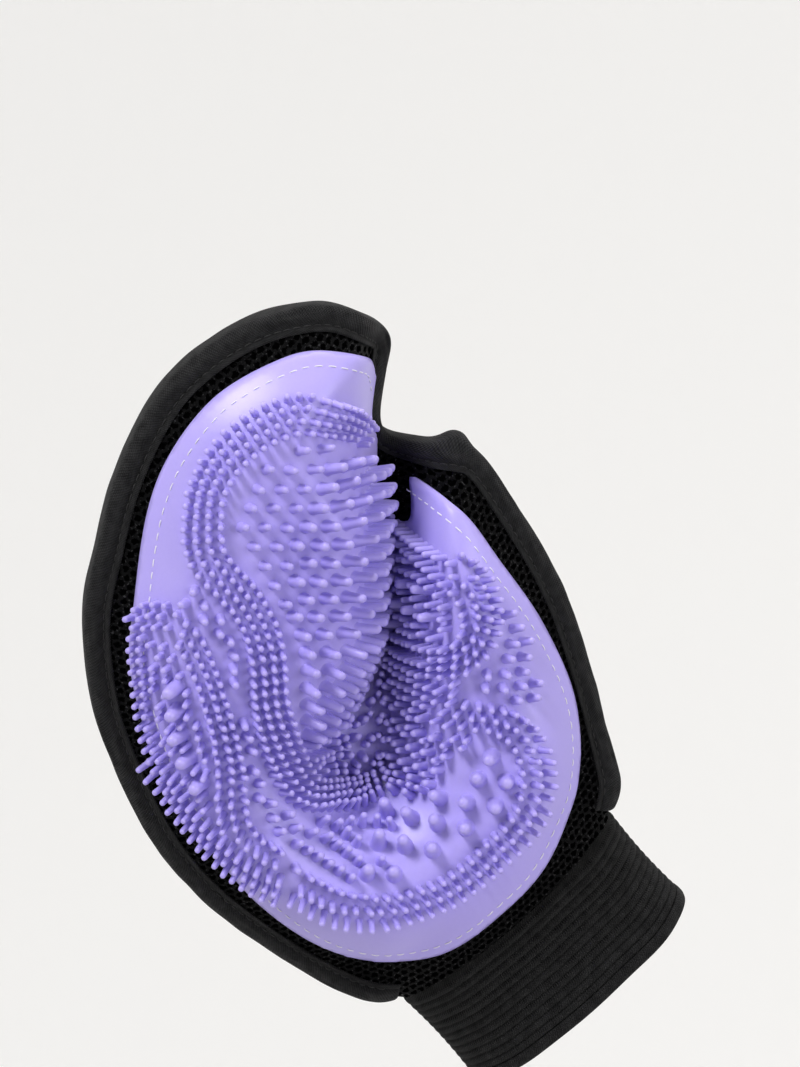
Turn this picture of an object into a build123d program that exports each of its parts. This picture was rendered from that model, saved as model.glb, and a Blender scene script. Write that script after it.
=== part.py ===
from build123d import *
import math
import os

os.makedirs("parts", exist_ok=True)

# Millimetres. The origin is the centre of the cuff's open end. +Z runs up the glove, -Y is the
# palm side and +X the thumb side. The mitt stands in its closed grip, as a hand inside holds it.

# ---- driving dimensions ----
CUFF_HALF_WIDTH = 51.0
CUFF_HALF_DEPTH = 24.0
CUFF_WALL = 2.4
CUFF_TOP = 46.0
HEM_HEIGHT = 4.5
RIB_COUNT = 12
RIB_GROOVE = 0.5
SEAM_HEIGHT = 2.6
MITT_BOTTOM = CUFF_TOP + SEAM_HEIGHT + 0.2

MESH_THICK = 2.6
PAD_THICK = 1.6
BINDING_WIDTH = 9.4
BINDING_FLANGE = 1.4
BINDING_CORE = 4.0
BRISTLE_HEIGHT = 7.0

LOBE_DEPTH = 25.0
LOBE_EXTRA = 10.0
BACK_DEPTH = 15.0
EDGE_HALF = 3.4
LOBE_RADIUS = 38.0
VALLEY_HALF_WIDTH = 11.0
BACK_VALLEY_HALF_WIDTH = 30.0
VALLEY_FLOOR_PIT = -4.0
VALLEY_FLOOR_NOTCH = 16.0
PIT_SHIFT = 9.0
FOLD_KERF = 0.4

# ---- the mitt's outline in the XZ plane, thumb side up to the finger tips and down the other side ----
OUTLINE = [
    (52, 47), (63, 56), (76, 82), (84, 100), (91, 118), (96, 138), (99, 158), (101, 174),
    (100, 184), (93, 192), (84, 200), (82, 208), (91, 216), (105, 228), (101, 246), (91, 260),
    (67, 272), (34, 274), (2, 262), (-22, 246), (-40, 232), (-58, 208), (-68, 186), (-77, 156),
    (-79, 130), (-76, 104), (-68, 70), (-61, 56), (-52, 47),
]

# ---- the silicone pad's edge ----
PAD_EDGE = [
    (89, 220), (92, 232), (81, 248), (66, 256), (44, 260), (22, 256), (2, 246), (-22, 226),
    (-38, 210), (-51, 186), (-58, 164), (-61, 140), (-62, 114), (-57, 88), (-46, 70), (-28, 58),
    (-4, 56), (24, 58), (50, 70), (68, 92), (77, 122), (80, 152), (81, 170), (79, 182),
    (75, 189), (69, 187), (63, 181), (61, 182), (63, 188), (70, 197), (78, 206), (85, 214),
]

# ---- bristle layout: outlines of the raised lobes, each edged by rows of fine pins ----
FINGER_BAND = [
    (72, 214), (71, 224), (60, 240), (48, 244), (35, 244), (23, 240), (13, 232), (7, 224),
    (6, 204), (-3, 182), (-18, 160), (-26, 138), (-14, 118), (-3, 114),
]
SIDE_BAND = [
    (-46, 126), (-48, 142), (-36, 164), (-23, 188), (-16, 208), (-22, 218), (-30, 216),
    (-39, 204), (-52, 178), (-56, 146), (-50, 118),
]
THUMB_BAND = [(54, 182), (62, 175), (66, 165), (67, 155), (58, 139), (50, 136), (33, 144)]
HEEL_BAND = [
    (32, 124), (44, 110), (45, 100), (39, 88), (27, 80), (12, 78), (-4, 78), (-18, 82),
    (-31, 90), (-41, 102), (-46, 116),
]
BAND_WIDTH = 11.0
THUMB_LOBE = [(28, 146), (46, 146), (60, 158), (58, 172), (50, 172), (36, 158)]
HEEL_LOBE = [
    (36, 118), (40, 104), (34, 92), (22, 86), (4, 84), (-14, 88), (-30, 98), (-30, 110),
    (-12, 108), (6, 104), (20, 110),
]
BRISTLE_FIELD = [
    (84, 216), (76, 236), (44, 246), (18, 242), (-4, 220), (-24, 212), (-46, 198), (-58, 168),
    (-61, 130), (-56, 98), (-40, 76), (-8, 66), (30, 70), (52, 90), (54, 114), (72, 146), (74, 170),
    (66, 184),
]

PIT = (5.0, 121.5)
NOTCH = (80.0, 201.5)
ALONG_LENGTH = math.hypot(NOTCH[0] - PIT[0], NOTCH[1] - PIT[1])
ALONG = ((NOTCH[0] - PIT[0]) / ALONG_LENGTH, (NOTCH[1] - PIT[1]) / ALONG_LENGTH)
ACROSS = (-ALONG[1], ALONG[0])


def smooth(value):
    value = max(0.0, min(1.0, value))
    return value * value * (3 - 2 * value)


def blend(first, second, share):
    return first + (second - first) * share


def edge_distance(x, z):
    """Distance inside the side and top edges of the mitt; zero outside them."""
    best = 1e9
    inside = False
    ring = [(52, -60)] + OUTLINE + [(-52, -60)]
    for (x1, z1), (x2, z2) in zip(ring, ring[1:] + ring[:1]):
        if (z1 > z) != (z2 > z) and x < x1 + (z - z1) * (x2 - x1) / (z2 - z1):
            inside = not inside
        run, rise = x2 - x1, z2 - z1
        share = ((x - x1) * run + (z - z1) * rise) / (run * run + rise * rise)
        share = max(0.0, min(1.0, share))
        best = min(best, math.hypot(x - x1 - share * run, z - z1 - share * rise))
    return best if inside else -best


def pillow(x, z, radius):
    """Rises from 0 at the edge to 1 a radius inside it, and runs on smoothly outside the edge."""
    share = max(-0.25, min(1.0, edge_distance(x, z) / radius))
    return 0.5 * math.sin(math.pi / 2 * share) + 0.5 * share * share * (3 - 2 * share)


def valley(x, z, half_width):
    """1 on the fold between thumb and fingers, falling to 0 beside it, and the fold's floor."""
    t = (x - PIT[0]) * ALONG[0] + (z - PIT[1]) * ALONG[1]
    n = (x - PIT[0]) * ACROSS[0] + (z - PIT[1]) * ACROSS[1]
    near = 1 - smooth(t / 50)
    floor = blend(VALLEY_FLOOR_PIT, VALLEY_FLOOR_NOTCH, smooth((t + 6) / 62))
    distance = math.hypot(min(t, 0.0), n - PIT_SHIFT * near)
    return 1 / (1 + (distance / (half_width * (1 + near))) ** 4), floor


def palm(x, z):
    """Y of the palm mesh's outer face."""
    radius = blend(CUFF_HALF_WIDTH, LOBE_RADIUS, smooth((z - CUFF_TOP) / 60))
    side = smooth((-0.85 * (x - 10) - 0.53 * (z - 130)) / 80) * smooth((z - CUFF_TOP) / 50)
    depth = blend(CUFF_HALF_DEPTH - EDGE_HALF, LOBE_DEPTH, smooth((z - CUFF_TOP) / 50))
    heel = smooth((118 - z) / 45) * smooth((z - CUFF_TOP + 2) / 20)
    extra = 1 - (1 - side) * (1 - 0.85 * heel)
    high = -EDGE_HALF - (depth + LOBE_EXTRA * extra) * pillow(x, z, radius)
    groove, floor = valley(x, z, VALLEY_HALF_WIDTH)
    return blend(high, floor, groove)


def back(x, z):
    """Y of the back mesh's outer face."""
    radius = blend(CUFF_HALF_WIDTH, LOBE_RADIUS, smooth((z - CUFF_TOP) / 60))
    depth = blend(CUFF_HALF_DEPTH - EDGE_HALF, BACK_DEPTH, smooth((z - CUFF_TOP) / 60))
    rise = pillow(x, z, radius)
    plain = EDGE_HALF + depth * rise
    wide = blend(VALLEY_HALF_WIDTH, BACK_VALLEY_HALF_WIDTH, max(0.0, min(1.0, rise)))
    groove, floor = valley(x, z, wide)
    return blend(plain, floor + 2 * EDGE_HALF + 9.0 * rise, groove)


def softened(height):
    """The surface's heights on the grid, evened out between neighbours, each with its steepness.

    The steepness is the length along Y of one millimetre of thickness."""
    rows = [[height(x, z) for x in GRID_X] for z in GRID_Z]
    for _ in range(2):
        rows = [
            [(row[max(i - 1, 0)] + 2 * v + row[min(i + 1, len(row) - 1)]) / 4 for i, v in enumerate(row)]
            for row in rows
        ]
        rows = [list(column) for column in zip(*rows)]
    grid = []
    for j, row in enumerate(rows):
        below, above = rows[max(j - 1, 0)], rows[min(j + 1, len(rows) - 1)]
        line = []
        for i, v in enumerate(row):
            slope_x = (row[min(i + 1, len(row) - 1)] - row[max(i - 1, 0)]) / (2 * GRID_STEP)
            slope_z = (above[i] - below[i]) / (2 * GRID_STEP)
            line.append((v, min(math.sqrt(1 + slope_x**2 + slope_z**2), 2.4)))
        grid.append(line)
    return grid


GRID_STEP = 6.5
GRID_X = [-92 + GRID_STEP * i for i in range(34)]
GRID_Z = [28 + GRID_STEP * j for j in range(41)]
PALM_GRID = softened(palm)
BACK_GRID = softened(back)


def on_palm(x, z):
    """Height and steepness of the palm face between the grid's own values."""
    u = (x - GRID_X[0]) / GRID_STEP
    v = (z - GRID_Z[0]) / GRID_STEP
    i = max(0, min(len(GRID_X) - 2, int(u)))
    j = max(0, min(len(GRID_Z) - 2, int(v)))
    found = []
    for k in (0, 1):
        near = blend(PALM_GRID[j][i][k], PALM_GRID[j][i + 1][k], u - i)
        far = blend(PALM_GRID[j + 1][i][k], PALM_GRID[j + 1][i + 1][k], u - i)
        found.append(blend(near, far, v - j))
    return found


def layer(grid, thickness):
    """Everything behind a face that lies `thickness` behind the palm or back face."""
    rows = [
        [Vector(x, grid[j][i][0] + thickness * grid[j][i][1], z) for i, x in enumerate(GRID_X)]
        for j, z in enumerate(GRID_Z)
    ]
    face = Face.make_surface_from_array_of_points(rows, tol=1.0)
    return Solid.extrude(face, Vector(0, 160, 0))


FRONT = Plane((0, -90, 0), x_dir=(1, 0, 0), z_dir=(0, -1, 0))


def prism(sketch):
    """The sketch, drawn with X across and Z up, extruded right through the glove."""
    with BuildPart() as solid:
        extrude(sketch, amount=-180)
    return solid.part


def outline_sketch(inset=0.0):
    """The mitt's outline, carried on down past the cuff, less an inset."""
    with BuildSketch(FRONT) as sketch:
        with BuildLine():
            Polyline(*OUTLINE, (-52, -40), (52, -40), close=True)
        make_face()
        if inset:
            offset(amount=-inset, mode=Mode.REPLACE)
    return sketch.sketch


def half_sketch(side):
    """Everything on one side of the fold line: +1 is the finger side, -1 the thumb side."""
    middle = ((PIT[0] + NOTCH[0]) / 2, (PIT[1] + NOTCH[1]) / 2)
    shift = 200 + FOLD_KERF / 2
    centre = (middle[0] + side * shift * ACROSS[0], middle[1] + side * shift * ACROSS[1])
    angle = math.degrees(math.atan2(ALONG[1], ALONG[0]))
    with BuildSketch(FRONT) as sketch:
        with Locations(Location((centre[0], centre[1], 0), (0, 0, angle))):
            Rectangle(900, 400)
    return sketch.sketch


def mitt_prism(side, inset):
    """One side of the mitt's outline above the cuff, less an inset, right through the glove."""
    with BuildSketch(FRONT) as sketch:
        add(outline_sketch(inset))
        add(half_sketch(side), mode=Mode.INTERSECT)
        with Locations((0, MITT_BOTTOM + 200)):
            Rectangle(500, 400, mode=Mode.INTERSECT)
    return prism(sketch.sketch)


def pad_prism(side):
    """One side of the pad's outline, clear of the binding, right through the glove."""
    with BuildSketch(FRONT) as sketch:
        with BuildLine():
            Polyline(*PAD_EDGE, close=True)
        make_face()
        add(outline_sketch(BINDING_WIDTH + 0.4), mode=Mode.INTERSECT)
        add(half_sketch(side), mode=Mode.INTERSECT)
    return prism(sketch.sketch)


SIDES = ["thumb", "finger"]

BEHIND_PAD_FACE = layer(PALM_GRID, -PAD_THICK)
BEHIND_PALM_FACE = layer(PALM_GRID, 0)
BEHIND_PALM_LINING = layer(PALM_GRID, MESH_THICK)
BEHIND_BACK_LINING = layer(BACK_GRID, -MESH_THICK)
BEHIND_BACK_FACE = layer(BACK_GRID, 0)
BEHIND_BINDING_FRONT = layer(PALM_GRID, -BINDING_FLANGE)
BEHIND_BINDING_BACK = layer(BACK_GRID, BINDING_FLANGE)


def resting_place(x, z, lift):
    """A plane on the pad's outer face, with its Z pointing away from the pad."""
    slope_x = (on_palm(x + 2, z)[0] - on_palm(x - 2, z)[0]) / 4
    slope_z = (on_palm(x, z + 2)[0] - on_palm(x, z - 2)[0]) / 4
    height, steep = on_palm(x, z)
    origin = (x, height - (PAD_THICK + lift) * steep, z)
    return Plane(origin, x_dir=(1, slope_x, 0), z_dir=(slope_x, -1, slope_z))


def side_of(x, z, clear):
    """+1 on the finger side, -1 on the thumb side, 0 within `clear` of the fold."""
    across = (x - PIT[0]) * ACROSS[0] + (z - PIT[1]) * ACROSS[1]
    return 0 if abs(across) < clear else math.copysign(1, across)


def distance_to(path, x, z):
    best = 1e9
    for (x1, z1), (x2, z2) in zip(path, path[1:]):
        run, rise = x2 - x1, z2 - z1
        share = ((x - x1) * run + (z - z1) * rise) / (run * run + rise * rise)
        share = max(0.0, min(1.0, share))
        best = min(best, math.hypot(x - x1 - share * run, z - z1 - share * rise))
    return best


def within(path, x, z):
    inside = False
    for (x1, z1), (x2, z2) in zip(path, path[1:] + path[:1]):
        if (z1 > z) != (z2 > z) and x < x1 + (z - z1) * (x2 - x1) / (z2 - z1):
            inside = not inside
    return inside


BANDS = [FINGER_BAND, SIDE_BAND, THUMB_BAND, HEEL_BAND]
LARGE_LOBES = [SIDE_BAND, THUMB_LOBE, HEEL_LOBE]


def bristle_sites(large):
    """Staggered rows of bristles in the open fields between the bands of fine pins."""
    sites = []
    pitch = 13.0 if large else 11.0
    for row in range(26):
        for column in range(22):
            x = -66 + pitch * (column + 0.5 * (row % 2))
            z = 62 + pitch * 0.87 * row
            clear = min(distance_to(band, x, z) for band in BANDS) > BAND_WIDTH / 2 + 3.5
            in_lobe = any(within(lobe, x, z) for lobe in LARGE_LOBES)
            in_field = within(BRISTLE_FIELD, x, z)
            steep = on_palm(x, z)[1] > 1.9
            if clear and in_field and not steep and in_lobe == large:
                sites.append((x, z))
    return sites


def spaced_along(path, pitch):
    """Points and headings at equal steps along a closed path."""
    found = []
    left = 0.0
    for (x1, z1), (x2, z2) in zip(path, path[1:] + path[:1]):
        length = math.hypot(x2 - x1, z2 - z1)
        along = left
        while along < length:
            share = along / length
            found.append((blend(x1, x2, share), blend(z1, z2, share), x2 - x1, z2 - z1))
            along += pitch
        left = along - length
    return found


def inset_path(path, inset):
    """The path moved inwards, point by point; the path runs anticlockwise."""
    moved = []
    for before, (x, z), after in zip(path[-1:] + path[:-1], path, path[1:] + path[:1]):
        run, rise = after[0] - before[0], after[1] - before[1]
        length = math.hypot(run, rise)
        moved.append((x - inset * rise / length, z + inset * run / length))
    return moved


def fine_sites():
    """Two rows of fine pins along every band."""
    sites = []
    for band in BANDS:
        for offset in (-2.4, 2.4):
            for x, z, run, rise in spaced_along(band, 12.0):
                on_band = distance_to(band, x, z) < 0.1
                if not on_band or edge_distance(x, z) < BINDING_WIDTH + 5.0:
                    continue
                length = math.hypot(run, rise)
                sites.append((x - offset * rise / length, z + offset * run / length))
    return sites


def places(sites, sign, lift):
    """Where the bristles of one side stand, with Z away from the pad."""
    return [resting_place(x, z, lift).location for x, z in sites if side_of(x, z, 10.0) == sign]


def stitch_places(stitches, sign):
    """Where the stitches of one side lie, each along its seam."""
    found = []
    for x, z, run, rise in stitches:
        if side_of(x, z, 4.0) == sign:
            place = resting_place(x, z, 0.0)
            along = Vector(run, place.x_dir.Y * run, rise)
            found.append(Plane(place.origin, x_dir=along, z_dir=place.z_dir).location)
    return found


BASE = (Align.CENTER, Align.CENTER, Align.MIN)
PAD_STITCHES = spaced_along(inset_path(PAD_EDGE, 5.0), 7.8)
BINDING_RUN = inset_path([(52, 50)] + OUTLINE[1:-1] + [(-52, 50)], 6.8)[1:-1]
BINDING_STITCHES = [
    (x, z, run, rise)
    for x, z, run, rise in spaced_along(BINDING_RUN, 9.0)
    if z > 60 and not within(PAD_EDGE, x, z) and distance_to(PAD_EDGE + PAD_EDGE[:1], x, z) > 3.0
]

for side, sign in zip(SIDES, (-1, 1)):
    with BuildPart() as palm_mesh:
        add(mitt_prism(sign, BINDING_CORE))
        add(BEHIND_PALM_FACE, mode=Mode.INTERSECT)
        add(BEHIND_PALM_LINING, mode=Mode.SUBTRACT)
    palm_mesh.part.label = f"palm_mesh_{side}"
    export_step(palm_mesh.part, f"parts/palm_mesh_{side}.step")

    with BuildPart() as back_mesh:
        add(mitt_prism(sign, BINDING_CORE))
        add(BEHIND_BACK_LINING, mode=Mode.INTERSECT)
        add(BEHIND_BACK_FACE, mode=Mode.SUBTRACT)
    back_mesh.part.label = f"back_mesh_{side}"
    export_step(back_mesh.part, f"parts/back_mesh_{side}.step")

    with BuildPart() as silicone_pad:
        add(pad_prism(sign))
        add(BEHIND_PAD_FACE, mode=Mode.INTERSECT)
        add(BEHIND_PALM_FACE, mode=Mode.SUBTRACT)
    silicone_pad.part.label = f"silicone_pad_{side}"
    export_step(silicone_pad.part, f"parts/silicone_pad_{side}.step")

    # The folded binding is a solid roll outside the mesh panels and a flange on each of their faces.
    with BuildPart() as edge_core:
        add(mitt_prism(sign, BINDING_CORE))
        add(BEHIND_PALM_FACE, mode=Mode.INTERSECT)
        add(BEHIND_BACK_FACE, mode=Mode.SUBTRACT)
    with BuildPart() as edge_binding:
        add(mitt_prism(sign, 0.0))
        add(prism(outline_sketch(BINDING_WIDTH)), mode=Mode.SUBTRACT)
        add(BEHIND_BINDING_FRONT, mode=Mode.INTERSECT)
        add(BEHIND_BINDING_BACK, mode=Mode.SUBTRACT)
        add(edge_core.part, mode=Mode.SUBTRACT)
    edge_binding.part.label = f"edge_binding_{side}"
    export_step(edge_binding.part, f"parts/edge_binding_{side}.step")

    with BuildPart() as fine_bristles:
        with Locations(*places(fine_sites(), sign, -0.5)):
            Cone(1.1, 0.9, BRISTLE_HEIGHT, align=BASE)
    fine_bristles.part.label = f"fine_bristles_{side}"
    export_step(fine_bristles.part, f"parts/fine_bristles_{side}.step")

    with BuildPart() as large_bristles:
        with Locations(*places(bristle_sites(True), sign, -0.5)):
            Cone(2.3, 1.6, 9.0, align=BASE)
    large_bristles.part.label = f"large_bristles_{side}"
    export_step(large_bristles.part, f"parts/large_bristles_{side}.step")

    with BuildPart() as medium_bristles:
        with Locations(*places(bristle_sites(False), sign, -0.5)):
            Cone(1.6, 1.0, 8.0, align=BASE)
    medium_bristles.part.label = f"medium_bristles_{side}"
    export_step(medium_bristles.part, f"parts/medium_bristles_{side}.step")

    with BuildPart() as pad_stitching:
        with Locations(*stitch_places(PAD_STITCHES, sign)):
            Box(3.4, 0.6, 0.5)
    pad_stitching.part.label = f"pad_stitching_{side}"
    export_step(pad_stitching.part, f"parts/pad_stitching_{side}.step")

    with BuildPart() as binding_stitching:
        with Locations(*stitch_places(BINDING_STITCHES, sign)):
            Box(3.8, 0.7, 0.5)
    binding_stitching.part.label = f"binding_stitching_{side}"
    export_step(binding_stitching.part, f"parts/binding_stitching_{side}.step")

# ---- elastic wrist cuff: hem, ribbed band and the tape that joins it to the mitt ----


def cuff_ring(level, outward, inward):
    """An elliptical ring of the cuff, drawn by how far it stands out of and into the wall."""
    with BuildSketch(Plane.XY.offset(level)) as ring:
        Ellipse(CUFF_HALF_WIDTH + outward, CUFF_HALF_DEPTH + outward)
        Ellipse(
            CUFF_HALF_WIDTH - CUFF_WALL - inward,
            CUFF_HALF_DEPTH - CUFF_WALL - inward,
            mode=Mode.SUBTRACT,
        )
    return ring.sketch


with BuildPart() as cuff_hem:
    extrude(cuff_ring(0, 0.5, 0.0), amount=HEM_HEIGHT)
cuff_hem.part.label = "cuff_hem"
export_step(cuff_hem.part, "parts/cuff_hem.step")

RIB_PITCH = (CUFF_TOP - HEM_HEIGHT) / RIB_COUNT
with BuildPart() as cuff_band:
    extrude(cuff_ring(HEM_HEIGHT, -RIB_GROOVE, 0.0), amount=CUFF_TOP - HEM_HEIGHT)
    for rib in range(RIB_COUNT):
        extrude(cuff_ring(HEM_HEIGHT + RIB_PITCH * (rib + 0.15), 0.0, 0.0), amount=RIB_PITCH * 0.7)
cuff_band.part.label = "cuff_band"
export_step(cuff_band.part, "parts/cuff_band.step")

with BuildPart() as cuff_joining_tape:
    extrude(cuff_ring(CUFF_TOP, 0.3, 1.2), amount=SEAM_HEIGHT)
cuff_joining_tape.part.label = "cuff_joining_tape"
export_step(cuff_joining_tape.part, "parts/cuff_joining_tape.step")
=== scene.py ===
import math

import bpy
import numpy as np
from mathutils import Matrix, Vector
from mathutils.geometry import delaunay_2d_cdt


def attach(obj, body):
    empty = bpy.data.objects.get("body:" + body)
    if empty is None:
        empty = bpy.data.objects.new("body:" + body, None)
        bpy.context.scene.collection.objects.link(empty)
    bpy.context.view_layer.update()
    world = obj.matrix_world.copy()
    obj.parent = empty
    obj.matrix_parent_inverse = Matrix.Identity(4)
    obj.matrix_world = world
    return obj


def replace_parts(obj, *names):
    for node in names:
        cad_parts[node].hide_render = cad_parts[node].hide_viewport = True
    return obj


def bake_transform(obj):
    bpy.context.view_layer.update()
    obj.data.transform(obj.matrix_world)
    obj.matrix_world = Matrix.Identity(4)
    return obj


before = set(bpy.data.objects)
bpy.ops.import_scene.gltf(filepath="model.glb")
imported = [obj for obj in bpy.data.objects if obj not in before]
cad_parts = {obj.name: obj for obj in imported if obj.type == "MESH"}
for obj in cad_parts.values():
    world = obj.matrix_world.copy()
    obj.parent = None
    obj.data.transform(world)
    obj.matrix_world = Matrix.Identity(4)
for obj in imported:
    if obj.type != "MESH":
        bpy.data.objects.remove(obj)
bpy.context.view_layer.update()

MM = 0.001
rng = np.random.default_rng(7)

# ------------------------------------------------------------------ shape of the glove, in mm

CUFF_HALF_WIDTH = 51.0
CUFF_HALF_DEPTH = 24.0
CUFF_TOP = 46.0
# Half the mitt's thickness at its edge.
EDGE_HALF = 3.4
# How far the palm and the back bulge, and how far in from the edge the bulge is full.
LOBE_DEPTH = 25.0
LOBE_EXTRA = 10.0
BACK_DEPTH = 15.0
LOBE_RADIUS = 38.0
# The fold between thumb and fingers, which widens and shifts toward the fingers at its pit.
VALLEY_HALF_WIDTH = 11.0
BACK_VALLEY_HALF_WIDTH = 30.0
PIT_SHIFT = 9.0
VALLEY_FLOOR_PIT = -4.0
VALLEY_FLOOR_NOTCH = 16.0
PAD_THICK = 1.7
MESH_THICK = 2.3
RIM_STEP = 1.5

# Outlines seen from the palm side, as (x, z), anticlockwise.
OUTLINE = [
    (52, 47), (63, 56), (76, 82), (84, 100), (91, 118), (96, 138), (99, 158), (101, 174),
    (100, 184), (93, 192), (84, 200), (82, 208), (91, 216), (105, 228), (101, 246), (91, 260),
    (67, 272), (34, 274), (2, 262), (-22, 246), (-40, 232), (-58, 208), (-68, 186), (-77, 156),
    (-79, 130), (-76, 104), (-68, 70), (-61, 56), (-52, 47),
]
PAD_EDGE = [
    (89, 220), (92, 232), (81, 248), (66, 256), (44, 260), (22, 256), (2, 246), (-22, 226),
    (-38, 210), (-51, 186), (-58, 164), (-61, 140), (-62, 114), (-57, 88), (-46, 70), (-28, 58),
    (-4, 56), (24, 58), (50, 70), (68, 92), (77, 122), (80, 152), (81.5, 168), (80.5, 179),
    (78, 186), (76, 186), (72, 181), (67, 176), (64, 176), (61, 179), (63, 188), (70, 197),
    (78, 206), (85, 214),
]
# How many of the pad's last points shape its slot between thumb and fingers.
SLOT_POINTS = 9
# The fold runs from the pit in the palm to the notch in the rim.
PIT = np.array([5.0, 121.5])
NOTCH = np.array([80.0, 201.5])
ALONG = (NOTCH - PIT) / np.hypot(*(NOTCH - PIT))
ACROSS = np.array([-ALONG[1], ALONG[0]])


def smooth(v):
    """A soft step from 0 to 1."""
    v = np.clip(v, 0, 1)
    return v * v * (3 - 2 * v)


def mix(a, b, s):
    return a + (b - a) * s


def catmull(points, closed, step=1.0):
    """A smooth curve through the points, resampled at even steps."""
    p = np.array(points, float)
    if closed:
        q = np.vstack([p[-1], p, p[0], p[1]])
    else:
        q = np.vstack([2 * p[0] - p[1], p, 2 * p[-1] - p[-2]])
    out = []
    t = np.linspace(0, 1, 24, endpoint=False)[:, None]
    for a, b, c, d in zip(q, q[1:], q[2:], q[3:]):
        out.append(
            0.5 * ((2 * b) + (c - a) * t + (2 * a - 5 * b + 4 * c - d) * t**2
                   + (3 * b - a - 3 * c + d) * t**3)
        )
    out = np.vstack(out)
    if not closed:
        out = np.vstack([out, p[-1]])
    return resample(out, closed, step)


def resample(line, closed, step):
    """Points at even steps along a line."""
    p = np.vstack([line, line[:1]]) if closed else line
    along = np.concatenate([[0], np.cumsum(np.linalg.norm(np.diff(p, axis=0), axis=1))])
    n = max(4, int(round(along[-1] / step)))
    at = np.linspace(0, along[-1], n + 1)
    if closed:
        at = at[:-1]
    return np.stack([np.interp(at, along, p[:, k]) for k in range(p.shape[1])], 1)


def to_line(points, line, closed):
    """Distance from each point to the line."""
    q = np.vstack([line, line[:1]]) if closed else line
    a, b = q[:-1], q[1:]
    d = b - a
    best = np.full(len(points), 1e9)
    for i in range(len(a)):
        s = np.clip(((points - a[i]) @ d[i]) / max(d[i] @ d[i], 1e-9), 0, 1)
        best = np.minimum(best, np.hypot(*(points - a[i] - s[:, None] * d[i]).T))
    return best


def inside(points, line):
    """Whether each point lies inside the closed line."""
    q = np.vstack([line, line[:1]])
    hit = np.zeros(len(points), bool)
    x, z = points[:, 0], points[:, 1]
    for (x1, z1), (x2, z2) in zip(q[:-1], q[1:]):
        if z1 == z2:
            continue
        cross = ((z1 > z) != (z2 > z)) & (x < x1 + (z - z1) * (x2 - x1) / (z2 - z1))
        hit ^= cross
    return hit


RIM = catmull(OUTLINE, False, RIM_STEP)
RING = np.vstack([RIM, [(-52, -60), (52, -60)]])

GX = np.arange(-112.0, 138.0, 1.0)
GZ = np.arange(18.0, 302.0, 1.0)
GRID = np.stack([a.ravel() for a in np.meshgrid(GX, GZ)], 1)
EDGE = to_line(GRID, RING, True)
EDGE[~inside(GRID, RING)] *= -1


def valley(points, half_width):
    """How much the fold takes over at each point, from 0 to 1, and the height of its floor."""
    rel = points - PIT
    t, n = rel @ ALONG, rel @ ACROSS
    near = 1 - smooth(t / 50)
    width = half_width * (1 + near)
    depth = mix(VALLEY_FLOOR_PIT, VALLEY_FLOOR_NOTCH, smooth((t + 6) / 62))
    return 1 / (1 + (np.hypot(np.minimum(t, 0), n - PIT_SHIFT * near) / width) ** 4), depth


def pillow(radius, z):
    """The bulge from the rim inward, 0 at the edge and 1 past the radius, rounder near the cuff."""
    share = np.clip(EDGE / radius, -0.25, 1)
    lens = 0.5 * np.sin(np.pi / 2 * share) + 0.5 * share**2 * (3 - 2 * share)
    pos = np.clip(share, 0, 1)
    round_ = np.sqrt(np.clip(1 - (1 - pos) ** 2, 0, 1))
    k = 1 - smooth((z - CUFF_TOP) / 26)
    return lens + (round_ - lens) * k


def soften(grid, sigma):
    """A Gaussian blur of a height grid."""
    n = int(3 * sigma)
    k = np.exp(-0.5 * (np.arange(-n, n + 1) / sigma) ** 2)
    k /= k.sum()
    pad = np.pad(grid, n, mode="edge")
    pad = np.apply_along_axis(lambda r: np.convolve(r, k, "valid"), 0, pad)
    return np.apply_along_axis(lambda r: np.convolve(r, k, "valid"), 1, pad)


x_, z_ = GRID[:, 0], GRID[:, 1]
radius_ = mix(CUFF_HALF_WIDTH, LOBE_RADIUS, smooth((z_ - CUFF_TOP) / 60))
depth_ = mix(CUFF_HALF_DEPTH - EDGE_HALF, LOBE_DEPTH, smooth((z_ - CUFF_TOP) / 50))
side_ = smooth((-0.85 * (x_ - 10) - 0.53 * (z_ - 130)) / 80) * smooth((z_ - CUFF_TOP) / 50)
heel_ = smooth((118 - z_) / 45) * smooth((z_ - CUFF_TOP + 2) / 20)
extra_ = 1 - (1 - side_) * (1 - 0.85 * heel_)
high_ = -EDGE_HALF - (depth_ + LOBE_EXTRA * extra_) * pillow(radius_, z_)
groove_, floor_ = valley(GRID, VALLEY_HALF_WIDTH)
palm_ = mix(high_, floor_, groove_)
bdepth_ = mix(CUFF_HALF_DEPTH - EDGE_HALF, BACK_DEPTH, smooth((z_ - CUFF_TOP) / 60))
rise_ = pillow(radius_, z_)
wide_ = mix(VALLEY_HALF_WIDTH, BACK_VALLEY_HALF_WIDTH, np.clip(rise_, 0, 1))
bgroove_, floor_ = valley(GRID, wide_)
back_ = mix(EDGE_HALF + bdepth_ * rise_, floor_ + 2 * EDGE_HALF + 9 * rise_, bgroove_)

SHAPE = (len(GZ), len(GX))


def field(values, sigma):
    """A surface as a grid of heights with their slopes along x and z."""
    grid = soften(values.reshape(SHAPE), sigma)
    dz, dx = np.gradient(grid, 1.0)
    return np.stack([grid, dx, dz], -1)


PALM = field(palm_, 2.0)
BACK = field(back_, 3.0)


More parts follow.
